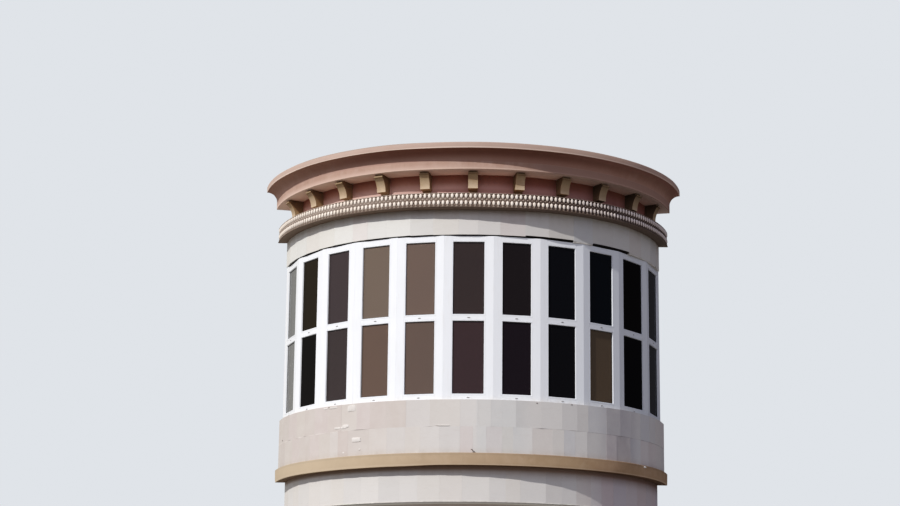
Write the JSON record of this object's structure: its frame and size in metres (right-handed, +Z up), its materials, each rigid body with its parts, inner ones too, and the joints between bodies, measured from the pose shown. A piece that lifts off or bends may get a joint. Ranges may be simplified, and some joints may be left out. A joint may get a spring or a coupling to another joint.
{
  "type": "bow window",
  "caption": "Curved bow window bay of a stone-clad wall: flat glazed frames set round an arc, a string course below, a beaded band and a bracketed plaster cornice above, open at the back.",
  "frame": {"origin": "middle of the floor slab's flat back face, on the face of the building's wall", "axes": "+X to the right seen from outside, +Y into the building, +Z up"},
  "size_m": [4.8802, 2.0558, 3.868],
  "materials": {
    "stone_cladding": "sawn limestone slabs, matt",
    "pink_plaster": "painted plaster, matt, weathered",
    "tan_plaster": "painted plaster, matt, weathered",
    "cream_beading": "painted cast relief, matt",
    "soffit_plaster": "plain plaster, matt",
    "concrete": "trowelled concrete",
    "joint_packing": "dark joint packing",
    "white_frame": "white powder-coated aluminium, satin",
    "bronze_glass": "bronze-tinted reflective glass"
  },
  "bodies": {
    "root": {"beaded_band": "cream_beading", "bottom_soffit": "soffit_plaster", "cornice_brackets": "tan_plaster", "cornice_centre": "pink_plaster", "cornice_left": "pink_plaster", "cornice_right": "pink_plaster", "floor_slab": "concrete", "frieze_wall": "pink_plaster", "head_packing_strip": "joint_packing", "head_wall_centre": "stone_cladding", "head_wall_left": "stone_cladding", "head_wall_right": "stone_cladding", "lower_wall_centre": "stone_cladding", "lower_wall_left": "stone_cladding", "lower_wall_right": "stone_cladding", "roof_slab": "concrete", "sill_wall_centre": "stone_cladding", "sill_wall_left": "stone_cladding", "sill_wall_right": "stone_cladding", "string_course_centre": "tan_plaster", "string_course_left": "tan_plaster", "string_course_right": "tan_plaster", "window_frame_01": "white_frame", "window_frame_02": "white_frame", "window_frame_03": "white_frame", "window_frame_04": "white_frame", "window_frame_05": "white_frame", "window_frame_06": "white_frame", "window_frame_07": "white_frame", "window_frame_08": "white_frame", "window_frame_09": "white_frame", "window_frame_10": "white_frame", "window_frame_11": "white_frame", "window_glass_01": "bronze_glass", "window_glass_02": "bronze_glass", "window_glass_03": "bronze_glass", "window_glass_04": "bronze_glass", "window_glass_05": "bronze_glass", "window_glass_06": "bronze_glass", "window_glass_07": "bronze_glass", "window_glass_08": "bronze_glass", "window_glass_09": "bronze_glass", "window_glass_10": "bronze_glass", "window_glass_11": "bronze_glass"}
  },
  "joints": []
}
